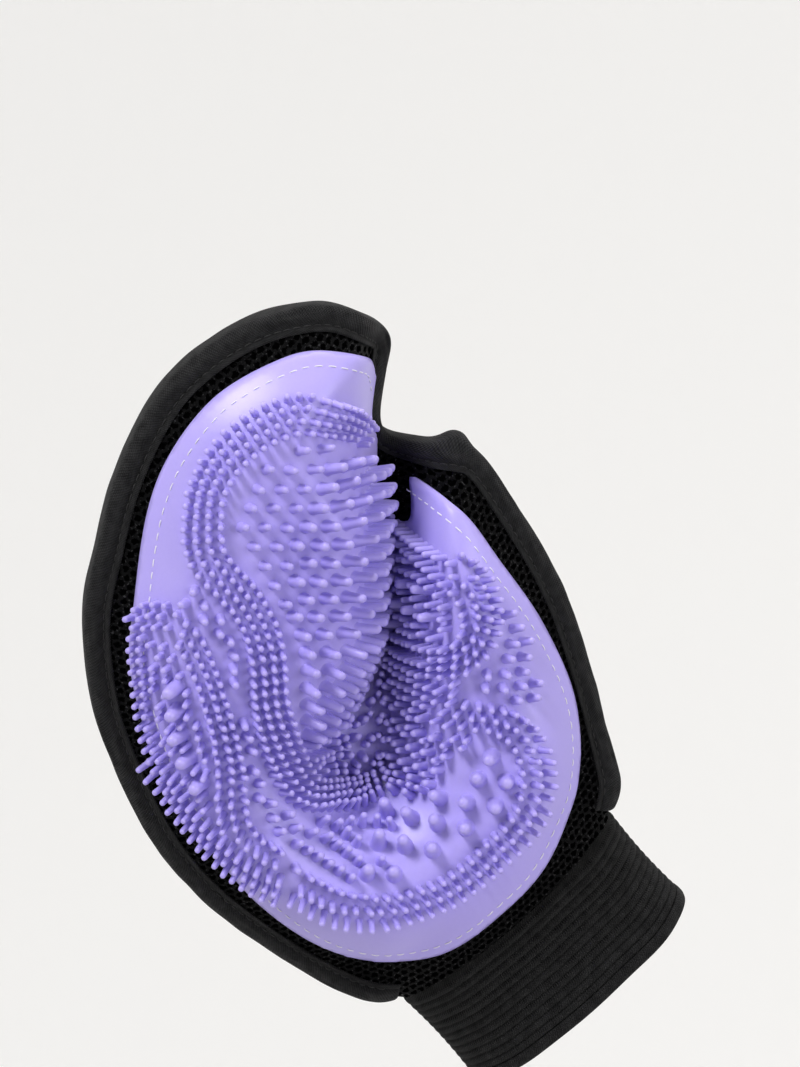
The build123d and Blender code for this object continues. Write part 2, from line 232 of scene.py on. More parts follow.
def at(surface, points):
    """Height and slopes of a surface at each point, between the grid's own values."""
    u = np.clip(points[:, 0] - GX[0], 0, len(GX) - 1.001)
    v = np.clip(points[:, 1] - GZ[0], 0, len(GZ) - 1.001)
    i, j = u.astype(int), v.astype(int)
    fu, fv = (u - i)[:, None], (v - j)[:, None]
    return (surface[j, i] * (1 - fu) * (1 - fv) + surface[j, i + 1] * fu * (1 - fv)
            + surface[j + 1, i] * (1 - fu) * fv + surface[j + 1, i + 1] * fu * fv)


def place(surface, points, lift=0.0):
    """The points on the surface, lifted off it, and the normals that point away from the hand."""
    h = at(surface, points)
    sign = -1.0 if surface is PALM else 1.0
    normal = np.stack([-sign * h[:, 1], np.full(len(h), sign), -sign * h[:, 2]], 1)
    normal /= np.linalg.norm(normal, axis=1)[:, None]
    co = np.stack([points[:, 0], h[:, 0], points[:, 1]], 1)
    return co + normal * np.reshape(lift, (-1, 1)), normal


# ------------------------------------------------------------------ even spacing on the folded surface

T_ROWS = np.arange(-150.0, 200.0, 1.0)
N_COLS = np.arange(-160.0, 160.0, 0.5)
ARC = []
for t in T_ROWS:
    line = PIT + t * ALONG + N_COLS[:, None] * ACROSS
    h = at(PALM, line)
    slope = h[:, 1] * ACROSS[0] + h[:, 2] * ACROSS[1]
    s = np.concatenate([[0], np.cumsum(np.sqrt(1 + slope[1:] ** 2) * 0.5)])
    ARC.append(s - np.interp(0, N_COLS, s))
ARC = np.array(ARC)


def spread(pitch, shift=0.0):
    """Staggered rows along the fold, evenly spaced over the surface rather than seen from the front."""
    points = []
    for r, t in enumerate(np.arange(-145.0, 195.0, pitch * 0.87)):
        arc = ARC[int(round(t - T_ROWS[0]))]
        s = np.arange(-200.0, 200.0, pitch) + pitch / 2 * (r % 2) + shift
        n = np.interp(s, arc, N_COLS, left=np.nan, right=np.nan)
        n = n[~np.isnan(n)]
        points.append(PIT + t * ALONG + n[:, None] * ACROSS)
    return np.vstack(points)


# ------------------------------------------------------------------ mesh helpers

def to_mesh(name, verts, faces, material):
    """A smooth-shaded object from points in millimetres."""
    mesh = bpy.data.meshes.new(name)
    mesh.from_pydata([tuple(v) for v in np.asarray(verts) * MM], [], faces)
    mesh.validate()
    mesh.shade_smooth()
    obj = bpy.data.objects.new(name, mesh)
    bpy.context.scene.collection.objects.link(obj)
    mesh.materials.append(material)
    return obj


def region(edge, spacing):
    """Triangles that fill the edge curve, evenly sized on the folded palm."""
    pts = spread(spacing)
    pts = pts[inside(pts, edge)]
    pts = pts[to_line(pts, edge, True) > spacing * 0.55]
    n = len(edge)
    all_pts = [Vector(p) for p in np.vstack([edge, pts])]
    ring = [(i, (i + 1) % n) for i in range(n)]
    co, _, faces, _, _, _ = delaunay_2d_cdt(all_pts, ring, [], 1, 1e-4)
    return np.array([tuple(c) for c in co]), [tuple(f) for f in faces]


def set_uv(obj, flat):
    """Coordinates in millimetres for the materials' weave."""
    layer = obj.data.uv_layers.new(name="weave")
    loops = np.zeros(len(obj.data.loops), np.int32)
    obj.data.loops.foreach_get("vertex_index", loops)
    layer.data.foreach_set("uv", np.asarray(flat, np.float32)[loops].ravel())


def inset(line, amount):
    """The open line moved to its left, which is inwards on the glove's anticlockwise curves."""
    d = np.gradient(line, axis=0)
    for _ in range(2):
        d[1:-1] = (d[:-2] + 2 * d[1:-1] + d[2:]) / 4
    d /= np.linalg.norm(d, axis=1)[:, None]
    moved = line + np.stack([-d[:, 1], d[:, 0]], 1) * np.reshape(amount, (-1, 1))
    for _ in range(int(2 + abs(np.max(amount)) * 1.5)):
        moved[1:-1] = (moved[:-2] + 2 * moved[1:-1] + moved[2:]) / 4
    return moved


def bend(obj):
    """Bake the object's transform into its mesh and hand the object back."""
    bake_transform(obj)
    return obj


def apply_modifiers(obj):
    """Turn the evaluated shape into the object's own mesh."""
    dep = bpy.context.evaluated_depsgraph_get()
    mesh = bpy.data.meshes.new_from_object(obj.evaluated_get(dep), depsgraph=dep)
    obj.modifiers.clear()
    old = obj.data
    obj.data = mesh
    bpy.data.meshes.remove(old)


# ------------------------------------------------------------------ materials

def new_material(name):
    mat = bpy.data.materials.new(name)
    mat.use_nodes = True
    nodes, links = mat.node_tree.nodes, mat.node_tree.links
    return mat, nodes, links, nodes["Principled BSDF"]


def math_node(nodes, links, op, a, b=None):
    node = nodes.new("ShaderNodeMath")
    node.operation = op
    for i, v in enumerate((a, b)):
        if v is None:
            continue
        if isinstance(v, (int, float)):
            node.inputs[i].default_value = v
        else:
            links.new(v, node.inputs[i])
    return node.outputs[0]


def mix_color(nodes, links, factor, a, b):
    node = nodes.new("ShaderNodeMix")
    node.data_type = "RGBA"
    links.new(factor, node.inputs[0])
    node.inputs[6].default_value = (*a, 1)
    node.inputs[7].default_value = (*b, 1)
    return node.outputs[2]


def bump(nodes, links, height, strength, distance):
    node = nodes.new("ShaderNodeBump")
    node.inputs["Strength"].default_value = strength
    node.inputs["Distance"].default_value = distance
    links.new(height, node.inputs["Height"])
    return node.outputs[0]


def weave_coords(nodes, links):
    """The cloth's own coordinates in millimetres: as a vector, and its two parts."""
    uv = nodes.new("ShaderNodeUVMap")
    uv.uv_map = "weave"
    sep = nodes.new("ShaderNodeSeparateXYZ")
    links.new(uv.outputs[0], sep.inputs[0])
    return uv.outputs[0], sep.outputs[0], sep.outputs[1]


def noise(nodes, links, vector, scale, detail=2.0):
    node = nodes.new("ShaderNodeTexNoise")
    node.inputs["Scale"].default_value = scale
    node.inputs["Detail"].default_value = detail
    links.new(vector, node.inputs["Vector"])
    return node.outputs["Fac"]


def silicone():
    mat, nodes, links, bsdf = new_material("lavender_silicone")
    geo = nodes.new("ShaderNodeNewGeometry")
    n = noise(nodes, links, geo.outputs["Position"], 900, 2)
    links.new(mix_color(nodes, links, n, (0.43, 0.365, 0.84), (0.46, 0.39, 0.87)),
              bsdf.inputs["Base Color"])
    bsdf.inputs["Roughness"].default_value = 0.37
    bsdf.inputs["Subsurface Weight"].default_value = 0.10
    bsdf.inputs["Subsurface Radius"].default_value = (0.6, 0.5, 1.0)
    bsdf.inputs["Subsurface Scale"].default_value = 0.0022
    bsdf.inputs["Specular IOR Level"].default_value = 0.42
    links.new(bump(nodes, links, n, 0.12, 0.0002), bsdf.inputs["Normal"])
    return mat


def air_mesh():
    """Black spacer mesh: staggered ragged holes about 3 mm apart in looped yarn, with painted shade in
    the holes and painted glints on the yarn.
    """
    mat, nodes, links, bsdf = new_material("air_mesh")
    vec, u, v = weave_coords(nodes, links)
    pitch_u, pitch_v = 3.0, 2.6
    wob = nodes.new("ShaderNodeTexNoise")
    wob.inputs["Scale"].default_value = 0.35
    links.new(vec, wob.inputs["Vector"])
    off = math_node(nodes, links, "MULTIPLY", wob.outputs["Fac"], 2.6)
    u = math_node(nodes, links, "ADD", u, off)
    row = math_node(nodes, links, "FLOOR", math_node(nodes, links, "DIVIDE", v, pitch_v))
    odd = math_node(nodes, links, "MODULO", math_node(nodes, links, "ABSOLUTE", row), 2.0)
    cu = math_node(nodes, links, "ADD", math_node(nodes, links, "DIVIDE", u, pitch_u),
                   math_node(nodes, links, "MULTIPLY", odd, 0.5))
    fu = math_node(nodes, links, "SUBTRACT", math_node(nodes, links, "FRACT", cu), 0.5)
    fv = math_node(nodes, links, "SUBTRACT",
                   math_node(nodes, links, "FRACT",
                             math_node(nodes, links, "DIVIDE", v, pitch_v)), 0.5)
    d2 = math_node(nodes, links, "ADD",
                   math_node(nodes, links, "POWER", math_node(nodes, links, "ABSOLUTE", fu), 2.0),
                   math_node(nodes, links, "POWER", math_node(nodes, links, "ABSOLUTE", fv), 2.0))
    ragged = math_node(nodes, links, "MULTIPLY",
                       math_node(nodes, links, "SUBTRACT", noise(nodes, links, vec, 0.9, 3), 0.5), 0.75)
    d = math_node(nodes, links, "ADD", math_node(nodes, links, "SQRT", d2), ragged)
    ramp = nodes.new("ShaderNodeMapRange")
    ramp.inputs["From Min"].default_value = 0.30
    ramp.inputs["From Max"].default_value = 0.47
    ramp.interpolation_type = "SMOOTHSTEP"
    links.new(d, ramp.inputs["Value"])
    wave = nodes.new("ShaderNodeTexWave")
    wave.inputs["Scale"].default_value = 0.9
    wave.inputs["Distortion"].default_value = 9.0
    wave.inputs["Detail"].default_value = 2.0
    wave.inputs["Detail Scale"].default_value = 2.5
    links.new(vec, wave.inputs["Vector"])
    fine = noise(nodes, links, vec, 3.2, 3)
    yarn = math_node(nodes, links, "MULTIPLY_ADD", wave.outputs["Fac"], 0.35)
    links.new(math_node(nodes, links, "MULTIPLY", fine, 0.6), yarn.node.inputs[2])
    height = math_node(nodes, links, "ADD", ramp.outputs[0], yarn)
    # Painted shade: the colour is near black in the holes and lighter on the yarn between them.
    hole_shade_and_glints = math_node(nodes, links, "MULTIPLY", ramp.outputs[0],
                      math_node(nodes, links, "ADD", yarn, 0.35))
    # Painted glints: bright flecks in the yarn's colour where a noise passes a threshold.
    painted_glint = nodes.new("ShaderNodeMapRange")
    painted_glint.inputs["From Min"].default_value = 0.60
    painted_glint.inputs["From Max"].default_value = 0.68
    links.new(noise(nodes, links, vec, 1.1, 2), painted_glint.inputs["Value"])
    hole_shade_and_glints = math_node(nodes, links, "ADD", math_node(nodes, links, "MULTIPLY", hole_shade_and_glints, 0.16),
                      math_node(nodes, links, "MULTIPLY", hole_shade_and_glints, painted_glint.outputs[0]))
    links.new(mix_color(nodes, links, hole_shade_and_glints, (0.0012, 0.0012, 0.0013), (0.050, 0.050, 0.054)),
              bsdf.inputs["Base Color"])
    gloss = math_node(nodes, links, "MULTIPLY", hole_shade_and_glints, 0.34)
    links.new(gloss, bsdf.inputs["Specular IOR Level"])
    bsdf.inputs["Roughness"].default_value = 0.48
    links.new(bump(nodes, links, height, 1.0, 0.0011), bsdf.inputs["Normal"])
    return mat


def woven(name, pitch, base, strength):
    """Fine black woven or knitted cloth: a diagonal twill of small ribs with a fuzzy grain, the ribs
    painted lighter and the grooves darker as painted shade.
    """
    mat, nodes, links, bsdf = new_material(name)
    vec, u, v = weave_coords(nodes, links)
    a = math_node(nodes, links, "ADD", math_node(nodes, links, "MULTIPLY", u, math.pi * 2 / pitch),
                  math_node(nodes, links, "MULTIPLY", v, math.pi * 2 / (pitch * 2.6)))
    b = math_node(nodes, links, "MULTIPLY", v, math.pi * 2 / pitch)
    height = math_node(nodes, links, "MULTIPLY", math_node(nodes, links, "SINE", a),
                       math_node(nodes, links, "SINE", b))
    grain = noise(nodes, links, vec, 1.4, 4)
    height = math_node(nodes, links, "ADD", height, math_node(nodes, links, "MULTIPLY", grain, 1.2))
    # Random tone from a slow noise, plus painted shade: raised ribs and grain painted lighter and the
    # grooves between them darker.
    tone_and_rib_shade = noise(nodes, links, vec, 0.25, 3)
    tone_and_rib_shade = math_node(nodes, links, "ADD", math_node(nodes, links, "MULTIPLY", height, 0.30), tone_and_rib_shade)
    dark = tuple(c * 0.15 for c in base)
    light = tuple(c * 2.3 for c in base)
    links.new(mix_color(nodes, links, tone_and_rib_shade, dark, light), bsdf.inputs["Base Color"])
    bsdf.inputs["Roughness"].default_value = 0.8
    links.new(math_node(nodes, links, "MULTIPLY", tone_and_rib_shade, 0.42), bsdf.inputs["Specular IOR Level"])
    bsdf.inputs["Sheen Weight"].default_value = 0.02
    bsdf.inputs["Sheen Roughness"].default_value = 0.45
    links.new(bump(nodes, links, height, strength, 0.00022), bsdf.inputs["Normal"])
    return mat


def thread(name, color):
    mat, nodes, links, bsdf = new_material(name)
    geo = nodes.new("ShaderNodeNewGeometry")
    n = noise(nodes, links, geo.outputs["Position"], 2500, 2)
    links.new(mix_color(nodes, links, n, tuple(c * 0.85 for c in color), color),
              bsdf.inputs["Base Color"])
    bsdf.inputs["Roughness"].default_value = 0.6
    links.new(bump(nodes, links, n, 0.5, 0.0002), bsdf.inputs["Normal"])
    return mat


SILICONE = silicone()
MESH = air_mesh()
BINDING = woven("binding_fabric", 1.05, (0.0040, 0.0040, 0.0046), 0.8)
KNIT = woven("elastic_knit", 0.9, (0.0028, 0.0028, 0.0031), 1.0)
LILAC_THREAD = thread("lilac_thread", (0.84, 0.81, 0.95))
BLACK_THREAD = thread("black_thread", (0.012, 0.012, 0.013))

# ------------------------------------------------------------------ silicone pad

PAD_CURVE = catmull(PAD_EDGE, True, 1.4)


def panel(name, surface, edge, spacing, lift_in, lift_out, material, rim_round=0.0):
    """A sheet between two lifts off a surface, with a closed, rounded rim."""
    flat, faces = region(edge, spacing)
    polys = []
    outer, _ = place(surface, flat, lift_out)
    if rim_round:
        gap = np.clip(to_line(flat, edge, True) / rim_round, 0, 1)
        drop = (1 - np.sqrt(np.clip(1 - (1 - gap) ** 2, 0, 1))) * (lift_out - lift_in) * 0.55
        outer, _ = place(surface, flat, lift_out - drop)
    inner, _ = place(surface, flat, lift_in)
    count = len(flat)
    verts = np.vstack([outer, inner])
    # Winding follows the normals that point away from the hand.
    a, b, c = (outer[[f[k] for f in faces]] for k in range(3))
    _, normal = place(surface, flat, 0)
    facing = (np.cross(b - a, c - a) * normal[[f[0] for f in faces]]).sum(1)
    for f, good in zip(faces, facing > 0):
        f = f if good else f[::-1]
        polys.append(f)
        polys.append(tuple(i + count for i in f[::-1]))
    directed = set()
    for f in polys[::2]:
        for i, j in zip(f, f[1:] + f[:1]):
            directed.add((i, j))
    for i, j in directed:
        if (j, i) not in directed:
            polys.append((j, i, i + count, j + count))
    obj = to_mesh(name, verts, polys, material)
    set_uv(obj, np.vstack([flat, flat]))
    return obj


pad = panel("silicone_pad", PALM, PAD_CURVE, 1.8, 0.05, PAD_THICK, SILICONE, rim_round=0.9)
bend(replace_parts(pad, "silicone_pad_thumb", "silicone_pad_finger"))

# ------------------------------------------------------------------ bristles

# Bristle shapes: radius at the foot, radius at the tip and length.
FINE = (1.22, 1.06, 7.0)
SMALL = (1.6, 1.3, 6.4)
FLANK = (2.05, 1.6, 9.2)
LARGE = (2.7, 2.1, 8.8)

# Rows of fine pins: the curve they follow, how far each row lies to its side, and their pitch.
BANDS = {
    "finger": ([(72, 214), (71, 224), (66, 234), (60, 240), (48, 244), (35, 244), (23, 240),
                (13, 232), (7, 224), (6, 214), (6, 204), (3, 192), (-3, 182), (-11, 172),
                (-18, 160), (-24, 148), (-26, 138), (-22, 128), (-14, 118), (-3, 114)],
               (-5.4, -1.8, 1.8, 5.4), 3.9),
    "side": ([(-16, 216), (-22, 220), (-30, 216), (-39, 204), (-47, 192), (-52, 178), (-55, 162),
              (-56, 146), (-54, 130), (-50, 118)], (-3.6, 0, 3.6), 3.9),
    "side_inner": ([(-17, 218), (-16, 208), (-19, 198), (-23, 188), (-29, 176), (-36, 164),
                    (-43, 154), (-48, 142), (-46, 126)], (-3.4, 0, 3.4), 3.9),
    "thumb": ([(54, 182), (62, 175), (66, 165), (67, 155), (64, 146), (58, 139), (50, 136), (42, 138),
               (33, 144)], (-4.6, -1.5, 1.5, 4.6), 3.7),
    "heel": ([(32, 124), (38, 118), (44, 110), (45, 100), (39, 88), (27, 80), (12, 78), (-4, 78),
              (-18, 82), (-31, 90), (-41, 102), (-46, 116)], (-4.0, 0, 4.0), 4.1),
}


def walk(points, direction, distance):
    """Move points over the palm by a length measured on its surface."""
    steps = 4
    for _ in range(steps):
        h = at(PALM, points)
        d = direction / np.linalg.norm(direction, axis=1)[:, None]
        slope = (h[:, 1:] * d).sum(1)
        points = points + d * (distance / steps / np.sqrt(1 + slope**2))[:, None]
    return points


def row_sites(curve, offset, pitch, shift):
    """Pins along a curve, moved sideways over the surface and evenly spaced in space."""
    tangent = np.gradient(curve, axis=0)
    side = np.stack([-tangent[:, 1], tangent[:, 0]], 1)
    row = walk(curve, side, np.full(len(curve), offset)) if offset else curve
    for _ in range(3):
        row[1:-1] = (row[:-2] + 2 * row[1:-1] + row[2:]) / 4
    co, _ = place(PALM, row)
    along = np.concatenate([[0], np.cumsum(np.linalg.norm(np.diff(co, axis=0), axis=1))])
    want = np.arange(pitch * shift, along[-1], pitch)
    return np.stack([np.interp(want, along, row[:, k]) for k in range(2)], 1)


def thin(sites, others, least):
    """Keep sites in order, dropping any nearer than `least` to one already kept."""
    co, _ = place(PALM, sites)
    kept = []
    kept_co = [place(PALM, o)[0] for o in others if len(o)]
    base = np.vstack(kept_co) if kept_co else np.zeros((0, 3))
    for i, p in enumerate(co):
        if len(base) and np.linalg.norm(base - p, axis=1).min() < least:
            continue
        base = np.vstack([base, p])
        kept.append(i)
    return sites[kept]


fine = []
for points, offsets, pitch in BANDS.values():
    curve = catmull(points, False, 1.0)
    for r, offset in enumerate(offsets):
        fine.append(row_sites(curve, offset, pitch, 0.5 * (r % 2)))
fine = np.vstack(fine)
fine = fine[inside(fine, PAD_CURVE)]
fine = thin(fine, [], 3.0)


def fill(pitch, areas, least, others, shift=0.0):
    """Staggered sites inside the areas, clear of other bristles by the least distance."""
    sites = spread(pitch, shift=shift)
    sites = sites[np.any([inside(sites, a) for a in areas], axis=0)]
    return thin(sites, others, least)


PIT_FLOOR = catmull([(-30, 142), (-22, 124), (-8, 110), (8, 104), (20, 106), (28, 118), (26, 136),
                     (14, 142), (2, 138), (-12, 142), (-22, 150)], True, 2)
THUMB_FLANK = catmull([(26, 108), (36, 118), (44, 134), (34, 150), (24, 150), (20, 130)], True, 2)
THUMB_CREST = catmull([(26, 147), (38, 141), (48, 139), (57, 146), (64, 157), (63, 169), (56, 177),
                       (48, 172), (34, 158)], True, 2)
SIDE_LOBE = catmull([(-18, 212), (-22, 196), (-30, 184), (-42, 166), (-48, 146), (-48, 120),
                     (-54, 116), (-60, 140), (-57, 176), (-42, 202), (-30, 216)], True, 2)
HEEL_LOBE = catmull([(36, 118), (40, 104), (34, 92), (22, 86), (4, 84), (-14, 88), (-30, 98),
                     (-30, 110), (-12, 108), (6, 104), (20, 110)], True, 2)
FINGER_FLANK = catmull([(66, 204), (60, 222), (44, 218), (24, 200), (4, 178), (-8, 160),
                        (-20, 148), (-6, 136), (8, 134), (34, 160), (60, 188)], True, 2)
FINGER_FIELD = catmull([(70, 222), (50, 240), (24, 238), (11, 224), (8, 200), (-6, 176),
                        (-22, 150), (-18, 138), (-6, 134), (12, 150), (36, 176), (60, 206)], True, 2)
BETWEEN = catmull([(2, 220), (-10, 218), (-14, 202), (-24, 184), (-38, 164), (-46, 142),
                   (-44, 112), (-30, 98), (-22, 118), (-28, 142), (-14, 166), (0, 190)], True, 2)
FINGER_SIDE = catmull([(84, 222), (50, 244), (20, 242), (8, 224), (4, 200), (-12, 172), (-24, 150),
                       (-20, 136), (10, 130), (40, 160), (80, 200)], True, 2)
THUMB_FIELD = catmull([(48, 136), (32, 124), (40, 118), (52, 104), (64, 118), (74, 146), (70, 166),
                       (66, 144)], True, 2)
UNDER = catmull([(-46, 118), (-28, 98), (4, 106), (20, 116), (-6, 114), (-22, 124), (-38, 134)], True, 2)

pit = fill(6.6, [PIT_FLOOR], 3.4, [fine])
fine = np.vstack([fine, fill(3.6, [PIT_FLOOR], 3.0, [fine, pit])])
fine = np.vstack([fine, fill(3.9, [THUMB_FLANK], 3.1, [fine, pit])])
large = fill(9.6, [SIDE_LOBE, HEEL_LOBE], 4.6, [fine, pit], shift=3.0)
flank = fill(7.2, [FINGER_FLANK], 4.9, [fine, large, pit])
flank = np.vstack([flank, fill(9.5, [THUMB_CREST], 4.9, [fine, flank])])
small = np.vstack([pit, fill(7.6, [FINGER_FIELD], 4.4, [fine, large, flank, pit])])
small = np.vstack([small, fill(2.8, [BETWEEN], 4.3, [fine, large, flank, small])])
small = np.vstack([small, fill(5.6, [THUMB_FIELD, UNDER], 3.8, [fine, large, flank, small])])
fine = np.vstack([fine, fill(2.2, [SIDE_LOBE, THUMB_CREST], 3.6, [fine, large, flank, small])])


def bristles(name, sites, shape, sides, nodes, lean_fold=(0.0, 0.0)):
    """Round-tipped tapering bristles with a small fillet at the foot, all in one mesh.

    On the finger side they lean by `lean_fold`: toward the fold, and along it to the notch.
    """
    foot, tip, tall = shape
    rings = [(foot * 1.3, -0.5), (foot * 1.1, 0.3), (foot, 0.9), (mix(foot, tip, 0.5), tall * 0.5),
             (tip, tall - tip * 0.9), (tip * 0.88, tall - tip * 0.42), (tip * 0.5, tall - tip * 0.08)]
    co, normal = place(PALM, sites, PAD_THICK)
    ref = np.tile([0.0, 0.0, 1.0], (len(co), 1))
    side = np.cross(ref, normal)
    side /= np.linalg.norm(side, axis=1)[:, None]
    up = np.cross(normal, side)
    lean = rng.normal(0, 0.035, (len(co), 2))
    grow = 1 + rng.normal(0, 0.02, len(co))
    finger_side = smooth(((sites - PIT) @ ACROSS - 4) / 8)
    if shape is FINE:
        # The pins round the finger tips are shorter.
        grow *= 1 - 0.34 * finger_side * smooth((sites[:, 1] - 175) / 25)
    axis = normal + lean[:, :1] * side + lean[:, 1:] * up
    inner = finger_side * inside(sites, FINGER_SIDE)
    axis -= (lean_fold[0] * inner)[:, None] * np.array([ACROSS[0], 0.0, ACROSS[1]])
    axis += (lean_fold[1] * inner)[:, None] * np.array([ALONG[0], 0.0, ALONG[1]])
    axis /= np.linalg.norm(axis, axis=1)[:, None]
    angle = np.linspace(0, 2 * np.pi, sides, endpoint=False)
    layers = []
    for r, h in rings:
        ring = (co[:, None] + axis[:, None] * (h * grow)[:, None, None]
                + r * (np.cos(angle)[None, :, None] * side[:, None]
                       + np.sin(angle)[None, :, None] * up[:, None]))
        layers.append(ring)
    top = (co + axis * (tall * grow)[:, None])[:, None]
    verts = np.concatenate(layers + [top], 1)
    per = verts.shape[1]
    faces = []
    for i in range(len(co)):
        base = i * per
        for k in range(len(rings) - 1):
            for j in range(sides):
                a, b = base + k * sides + j, base + k * sides + (j + 1) % sides
                faces.append((a, b, b + sides, a + sides))
        last = base + (len(rings) - 1) * sides
        for j in range(sides):
            faces.append((last + j, last + (j + 1) % sides, base + per - 1))
    obj = to_mesh(name, verts.reshape(-1, 3), faces, SILICONE)
    return bend(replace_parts(obj, *nodes))


bristles("fine_bristles", fine, FINE, 10, ["fine_bristles_thumb", "fine_bristles_finger"])
bristles("small_bristles", small, SMALL, 14, [], lean_fold=(0.20, 0.15))
bristles("flank_bristles", flank, FLANK, 14, ["medium_bristles_thumb", "medium_bristles_finger"],
         lean_fold=(0.12, 0.16))
bristles("large_bristles", large, LARGE, 18, ["large_bristles_thumb", "large_bristles_finger"])
print("bristles", len(fine), len(small), len(flank), len(large))

# ------------------------------------------------------------------ stitching on the pad


def stitches(name, line, surface, lift, length, gap, radius, material, nodes, sink=0.35):
    """Short threads that lie along a seam and dip into the material at both ends."""
    dense = resample(line, False, 0.4)
    co, _ = place(surface, dense, 0)
    along = np.concatenate([[0], np.cumsum(np.linalg.norm(np.diff(co, axis=0), axis=1))])
    verts, faces = [], []
    start = gap
    sides, cuts = 6, 7
    while start + length < along[-1] - gap / 2:
        run = length * (1 + rng.normal(0, 0.05))
        s = np.linspace(start, start + run, cuts)
        flat = np.stack([np.interp(s, along, dense[:, k]) for k in range(2)], 1)
        arch = np.sin(np.linspace(0, math.pi, cuts)) ** 0.5
        slip = rng.normal(0, 0.06)
        mid, nrm = place(surface, flat, lift - sink + arch * (sink + radius * 0.6))
        tan = np.gradient(mid, axis=0)
        tan /= np.linalg.norm(tan, axis=1)[:, None]
        side = np.cross(nrm, tan)
        mid = mid + side * slip
        base = len(verts)
        for i in range(cuts):
            for j in range(sides):
                a = 2 * math.pi * j / sides
                wide = radius * (0.72 if i in (0, cuts - 1) else 1.0)
                verts.append(mid[i] + wide * (math.cos(a) * side[i] + 0.8 * math.sin(a) * nrm[i]))
        for i in range(cuts - 1):
            for j in range(sides):
                k = (j + 1) % sides
                a, b = base + i * sides + j, base + i * sides + k
                faces.append((a, b, b + sides, a + sides))
        faces.append(tuple(base + j for j in range(sides))[::-1])
        faces.append(tuple(base + (cuts - 1) * sides + j for j in range(sides)))
        start += run + gap
    obj = to_mesh(name, np.array(verts), faces, material)
    return bend(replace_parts(obj, *nodes))


# The seam follows the pad's outer edge and stops at the slot between thumb and fingers.
PAD_SEAM = inset(catmull(PAD_EDGE[:-SLOT_POINTS], False, 1.4), 5.0)
stitches("pad_stitching", PAD_SEAM, PALM, PAD_THICK, 3.2, 1.2, 0.27, LILAC_THREAD,
             ["pad_stitching_thumb", "pad_stitching_finger"])

# ------------------------------------------------------------------ mesh panels

CUFF_SEAM = catmull([(-50, 47), (0, 46), (50, 47)], False, 2)
PANEL_EDGE = np.vstack([inset(RIM, 3.0)[2:-2], CUFF_SEAM[1:-1]])
palm_panel = panel("palm_mesh", PALM, PANEL_EDGE, 3.0, -MESH_THICK, 0.0, MESH)
bend(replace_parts(palm_panel, "palm_mesh_thumb", "palm_mesh_finger"))
back_panel = panel("back_mesh", BACK, PANEL_EDGE, 3.0, -MESH_THICK, 0.0, MESH)
bend(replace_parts(back_panel, "back_mesh_thumb", "back_mesh_finger"))

# ------------------------------------------------------------------ edge binding

# Inward distance from the rim and height above the face, from the palm flange over the edge
# to the back flange.
PALM_PROFILE = [
    (9.7, 0.05), (9.8, 0.6), (9.5, 0.95), (8.8, 1.0), (8.2, 0.85), (7.8, 0.5), (7.5, 0.65),
    (7.2, 1.4), (6.6, 2.05), (5.7, 2.5), (4.7, 2.7), (3.6, 2.6), (2.5, 2.25), (1.6, 1.6),
]
BACK_PROFILE = [(u, h * 0.9) for u, h in PALM_PROFILE[::-1]]
THUMB_TIP = np.array([97.0, 189.5])


def wobble(n, scale, amount):
    """Slow uneven waves along a seam."""
    base = rng.normal(0, 1, n + 200)
    k = np.hanning(scale * 2 + 1)
    k /= np.sqrt((k**2).sum())
    return np.convolve(base, k, "same")[100:100 + n] * amount


def edge_binding():
    """The padded tape round the rim, from one end at the cuff to the other."""
    n = len(RIM)
    rings = []
    puff = 1 + wobble(n, 12, 0.05)
    # The binding ends in rounded corners at the cuff.
    ends = np.minimum(np.arange(n), np.arange(n)[::-1]) * RIM_STEP
    close = np.sqrt(np.clip(1 - (1 - np.clip(ends / 9.0, 0, 1)) ** 2, 0, 1))
    # The tape is pinched into a short fold where it turns round the thumb's tip.
    s = np.arange(n) * RIM_STEP
    tip = s[np.argmin(np.hypot(*(RIM - THUMB_TIP).T))]
    fold = 4.6 * smooth((s - tip + 6.5) / 3.0) * smooth((tip + 5.5 - s) / 4.0)
    for surface, profile in ((PALM, PALM_PROFILE), (None, [(0, 0)]), (BACK, BACK_PROFILE)):
        for u, h in profile:
            if surface is None:
                y = (at(PALM, RIM)[:, 0] + at(BACK, RIM)[:, 0]) / 2
                out = inset(RIM, 0.6 - fold)
                rings.append(np.stack([out[:, 0], y, out[:, 1]], 1))
                continue
            flat = inset(RIM, u - fold * (1 - smooth(u / 8)))
            tuck = 0.25 * wobble(n, 5, 1.0) * min(1.0, h / 2)
            co, _ = place(surface, flat, (h * puff + tuck) * (0.35 + 0.65 * close))
            rings.append(co)
    grid = np.array(rings)
    rows = len(grid)
    verts = grid.transpose(1, 0, 2).reshape(-1, 3)
    faces = []
    for i in range(n - 1):
        for j in range(rows - 1):
            a = i * rows + j
            faces.append((a, a + 1, a + rows + 1, a + rows))
    for i in (0, n - 1):
        ring = [i * rows + j for j in range(rows)]
        faces.append(tuple(ring if i else ring[::-1]))
    # The tape's inside, a short way back from each flange, so that it closes.
    for i in range(n - 1):
        a, b = i * rows, i * rows + rows - 1
        faces.append((a + rows, b + rows, b, a))
    obj = to_mesh("edge_binding", verts, faces, BINDING)
    along = np.repeat(s, rows)
    girth = np.linalg.norm(np.diff(grid[:, n // 3], axis=0), axis=1)
    across = np.concatenate([[0], np.cumsum(girth)])
    set_uv(obj, np.stack([along, np.tile(across, n)], 1))
    sub = obj.modifiers.new("smooth", "SUBSURF")
    sub.levels = sub.render_levels = 1
    apply_modifiers(obj)
    return bend(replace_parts(obj, "edge_binding_thumb", "edge_binding_finger"))


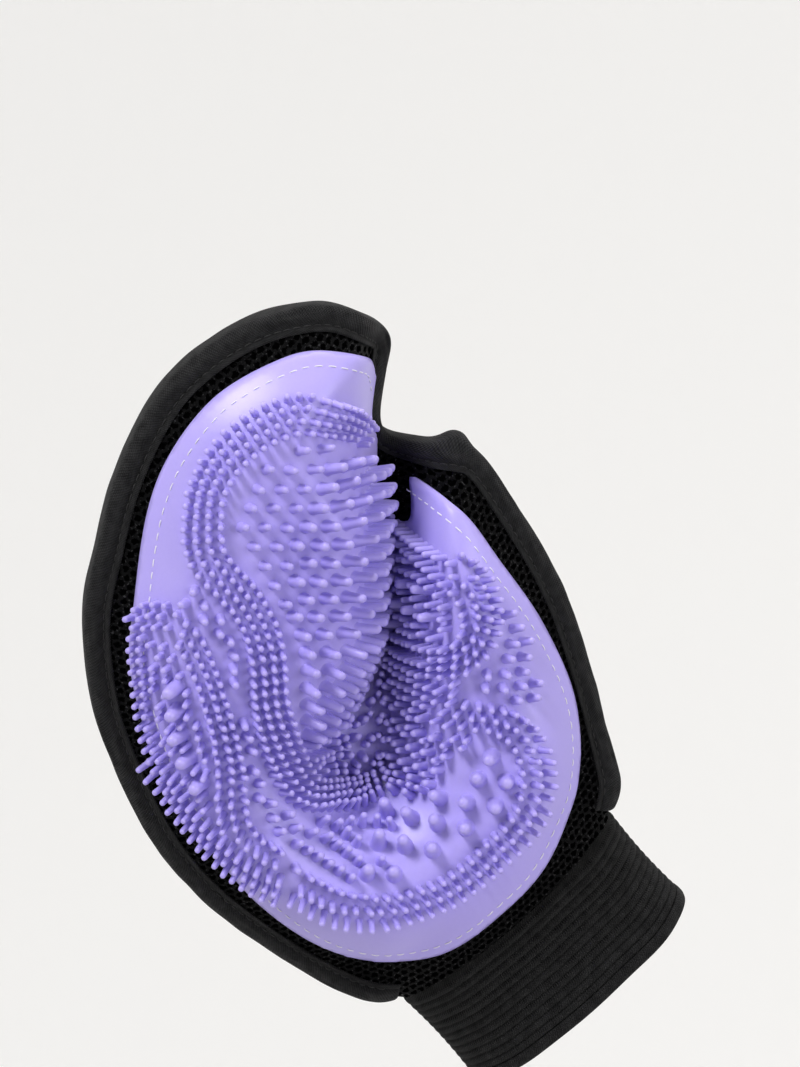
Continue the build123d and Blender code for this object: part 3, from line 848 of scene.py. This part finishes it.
binding = edge_binding()
stitches("binding_stitching", inset(RIM, 7.8)[4:-4], PALM, 0.85, 2.6, 0.9, 0.22,
             BLACK_THREAD, ["binding_stitching_thumb", "binding_stitching_finger"], sink=0.2)

# ------------------------------------------------------------------ cuff

RIB = 3.25
RIPPLE = 0.5
AROUND = 320
# 2 is an ellipse, and more is squarer.
SQUARENESS = 2.12


def cuff_tube(name, profile):
    """A closed ring of cloth: the profile is (level, distance out of the wall) pairs."""
    t = np.linspace(0, 2 * np.pi, AROUND, endpoint=False)
    verts = []
    cx = np.sign(np.cos(t)) * np.abs(np.cos(t)) ** (2 / SQUARENESS)
    sy = np.sign(np.sin(t)) * np.abs(np.sin(t)) ** (2 / SQUARENESS)
    loop = np.stack([CUFF_HALF_WIDTH * cx, CUFF_HALF_DEPTH * sy], 1)
    normal = np.stack([np.roll(loop, -1, 0)[:, 1] - np.roll(loop, 1, 0)[:, 1],
                       np.roll(loop, 1, 0)[:, 0] - np.roll(loop, -1, 0)[:, 0]], 1)
    normal /= np.linalg.norm(normal, axis=1)[:, None]
    arc = np.concatenate([[0], np.cumsum(np.linalg.norm(np.diff(loop, axis=0), axis=1))])
    wave = RIPPLE * (np.sin(3 * t + 0.6) + 0.6 * np.sin(5 * t + 2.0) + 0.4 * np.sin(9 * t))
    uv = []
    for level, out in profile:
        taper = -1.2 * math.sin(math.pi * min(max(level / 50.0, 0), 1))
        ring = loop + normal * (out + taper + 0.25 * wave[:, None] * (level / CUFF_TOP))
        verts.append(np.stack([ring[:, 0], ring[:, 1], level + wave * 0.8], 1))
        uv.append(np.stack([arc, np.full(AROUND, level + out)], 1))
    rows = len(profile)
    faces = []
    for i in range(rows):
        k = (i + 1) % rows
        for j in range(AROUND):
            m = (j + 1) % AROUND
            faces.append((i * AROUND + j, i * AROUND + m, k * AROUND + m, k * AROUND + j))
    obj = to_mesh(name, np.vstack(verts), faces, KNIT)
    set_uv(obj, np.vstack(uv))
    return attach(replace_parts(obj, name), "thumb_side")


HEM_PROFILE = [
    (0.3, -1.9), (0.0, -1.2), (0.0, -0.3), (0.35, 0.25), (1.2, 0.55), (2.6, 0.6), (3.9, 0.45),
    (4.5, 0.0), (4.6, -0.6), (4.6, -1.9), (2.4, -2.1),
]
# One rib of the band: share of its pitch, and height out of the wall.
RIB_PROFILE = [
    (0.06, -0.62), (0.16, -0.12), (0.30, 0.22), (0.5, 0.32), (0.70, 0.22), (0.84, -0.12),
    (0.94, -0.62),
]
TAPE_PROFILE = [(46.2, -2.2), (46.2, -1.0), (47.2, -0.5), (48.6, -0.9), (49.0, -2.2)]

cuff_tube("cuff_hem", HEM_PROFILE)
band_profile = [(4.3, -2.0), (4.3, -0.75)]
level = 4.6
while level + RIB < 46.8:
    band_profile += [(level + share * RIB, out) for share, out in RIB_PROFILE]
    level += RIB
band_profile += [(47.0, -0.7), (47.0, -2.0)]
band = cuff_tube("cuff_band", band_profile)
cuff_tube("cuff_joining_tape", TAPE_PROFILE)

# ------------------------------------------------------------------ stage, light, camera

stage_mat, nodes, links, bsdf = new_material("stage_paper")
bsdf.inputs["Base Color"].default_value = (0.55, 0.546, 0.54, 1)
bsdf.inputs["Roughness"].default_value = 0.9
bsdf.inputs["Emission Color"].default_value = (1.0, 0.992, 0.98, 1)
# Painted light: the paper glows by its own emission, brighter behind the glove and dimmer in front of
# it, standing in for a soft box's light.
geo = nodes.new("ShaderNodeNewGeometry")
sep = nodes.new("ShaderNodeSeparateXYZ")
glow = nodes.new("ShaderNodeMapRange")
glow.inputs["From Min"].default_value = -1.2
glow.inputs["From Max"].default_value = 1.6
glow.inputs["To Min"].default_value = 0.0
glow.inputs["To Max"].default_value = 0.44
links.new(geo.outputs["Position"], sep.inputs[0])
links.new(sep.outputs[1], glow.inputs["Value"])
links.new(glow.outputs[0], bsdf.inputs["Emission Strength"])
bpy.ops.mesh.primitive_uv_sphere_add(segments=96, ring_count=48, radius=4.0, location=(0, 0, 2.2))
bowl = bpy.context.object
bowl.name = "stage_bowl"
bowl.data.materials.append(stage_mat)
bowl.data.shade_smooth()

ELEV = math.radians(17.0)
ROLL = math.radians(41.4)
DIST = 1.0
# How much of the object's plane the picture's longer side takes in, in metres.
VIEW_SPAN = 0.3744
SENSOR = 36.0
TARGET = Vector((0.0605, 0.0, 0.1765))
forward = Vector((0, math.cos(ELEV), -math.sin(ELEV)))
right0 = Vector((1, 0, 0))
up0 = Vector((0, math.sin(ELEV), math.cos(ELEV)))
right = right0 * math.cos(ROLL) - up0 * math.sin(ROLL)
up = right0 * math.sin(ROLL) + up0 * math.cos(ROLL)
cam_data = bpy.data.cameras.new("camera")
cam = bpy.data.objects.new("camera", cam_data)
bpy.context.scene.collection.objects.link(cam)
cam.matrix_world = Matrix.Translation(TARGET - forward * DIST) @ Matrix(
    ((right.x, up.x, -forward.x), (right.y, up.y, -forward.y), (right.z, up.z, -forward.z))
).to_4x4()
cam_data.sensor_width = SENSOR
cam_data.lens = SENSOR * DIST / VIEW_SPAN
cam_data.clip_start = 0.05
bpy.context.scene.camera = cam


def area_light(name, offset, size, power):
    """An area light placed by right, up and toward-camera distances from the glove."""
    data = bpy.data.lights.new(name, "AREA")
    data.shape = "DISK"
    data.size = size
    data.energy = power
    obj = bpy.data.objects.new(name, data)
    bpy.context.scene.collection.objects.link(obj)
    where = TARGET + right * offset[0] + up * offset[1] - forward * offset[2]
    obj.location = where
    obj.rotation_euler = (TARGET - where).to_track_quat("-Z", "Y").to_euler()


area_light("key", (-0.9, 1.3, 1.3), 0.6, 31)
area_light("fill", (1.4, 0.2, 1.2), 1.4, 15)
area_light("top", (0.2, 1.8, -0.2), 1.2, 9)
area_light("low", (-0.6, -1.5, 0.8), 1.4, 5)

world = bpy.data.worlds.new("world")
bpy.context.scene.world = world
world.use_nodes = True
world.node_tree.nodes["Background"].inputs[0].default_value = (0.86, 0.86, 0.85, 1)
world.node_tree.nodes["Background"].inputs[1].default_value = 0.35
bpy.context.scene.view_settings.view_transform = "Standard"
bpy.context.scene.view_settings.look = "None"
